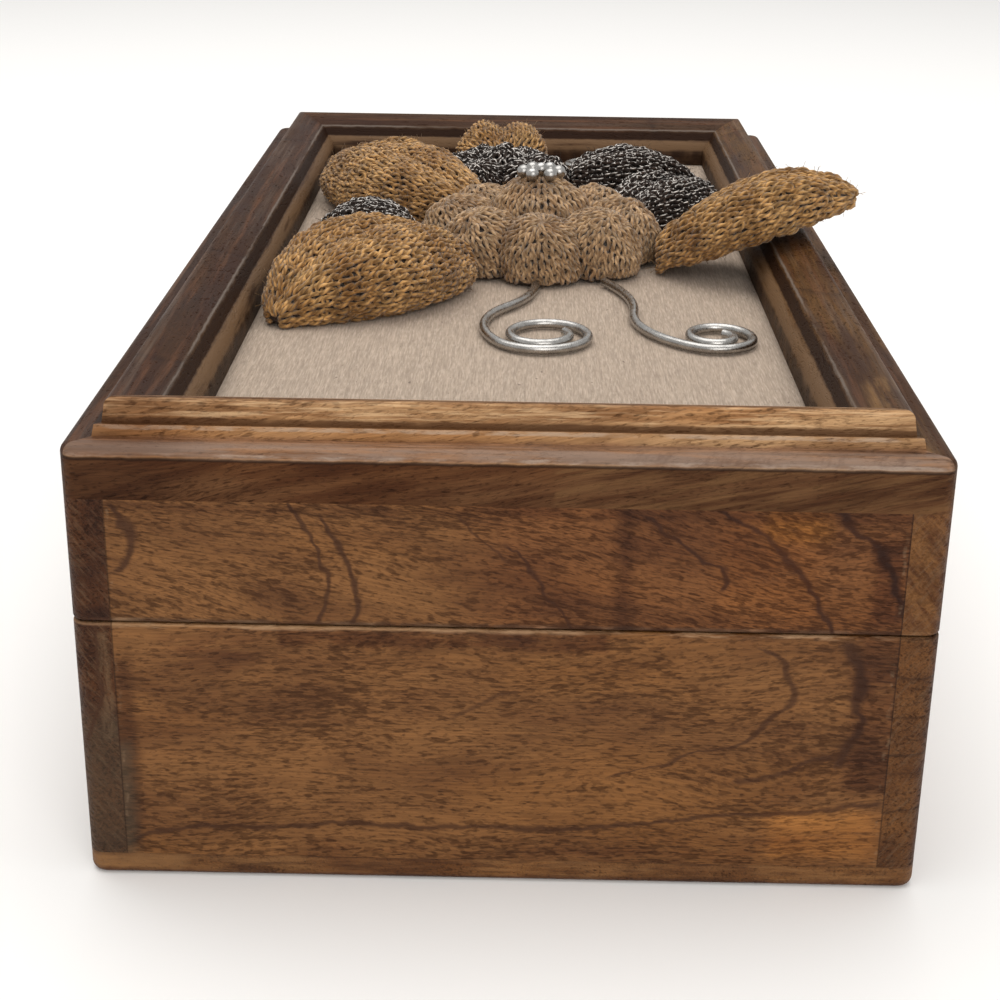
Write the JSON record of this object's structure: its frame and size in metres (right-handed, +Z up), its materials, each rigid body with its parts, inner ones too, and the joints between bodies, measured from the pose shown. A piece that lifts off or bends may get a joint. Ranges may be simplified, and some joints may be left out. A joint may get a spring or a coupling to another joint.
{
  "type": "hinged keepsake box",
  "caption": "Long wooden keepsake box with a hinged picture-frame lid round a linen panel, decorated with a knitted spray, wire scrolls and beads.",
  "frame": {"origin": "centre of the box's underside, on the surface that it stands on", "axes": "+Z up, +Y along the box from its short front end to its back end, +X from the hinged side to the opening side"},
  "size_m": [0.1571, 0.292, 0.1032],
  "materials": {
    "wood": "oiled, satin",
    "board": "plain",
    "brass": "aged satin",
    "steel": "plain",
    "linen": "natural linen weave",
    "ochre_yarn": "knitted yarn",
    "tan_yarn": "crocheted yarn",
    "dark_yarn": "dark yarn with a silver strand",
    "silver_wire": "polished"
  },
  "bodies": {
    "base": {"bottom_board": "wood", "base_front_board": "wood", "base_back_board": "wood", "base_left_board": "wood", "base_right_board": "wood", "hinge_front_base_leaf": "brass", "hinge_back_base_leaf": "brass", "hinge_front_pin": "brass", "hinge_back_pin": "brass", "base_hinge_screws": "brass"},
    "lid": {"lid_front_board": "wood", "lid_back_board": "wood", "lid_left_board": "wood", "lid_right_board": "wood", "frame_front_rail": "wood", "frame_back_rail": "wood", "frame_left_rail": "wood", "frame_right_rail": "wood", "panel_board": "board", "linen_cover": "linen", "backing_board": "board", "backing_pins": "steel", "hinge_front_lid_leaf": "brass", "hinge_back_lid_leaf": "brass", "lid_hinge_screws": "brass", "knit_rosette": "tan_yarn", "rosette_beads": "silver_wire", "leaf_front_left": "ochre_yarn", "leaf_back_left": "ochre_yarn", "leaf_over_rail": "ochre_yarn", "leaf_bud_left": "ochre_yarn", "leaf_back": "ochre_yarn", "knit_stem": "ochre_yarn", "leaf_left": "dark_yarn", "leaf_back_right": "dark_yarn", "leaf_bud_right": "dark_yarn", "knit_bud": "dark_yarn", "wire_scroll_front": "silver_wire", "wire_scroll_right": "silver_wire", "wire_scroll_back": "silver_wire"}
  },
  "joints": [
    {"name": "lid_hinge", "type": "hinge", "parent": "base", "child": "lid", "pos_m": [-0.07695, 0, 0.05075], "axis": [0, -1, 0], "range_deg": [0, 100]}
  ]
}
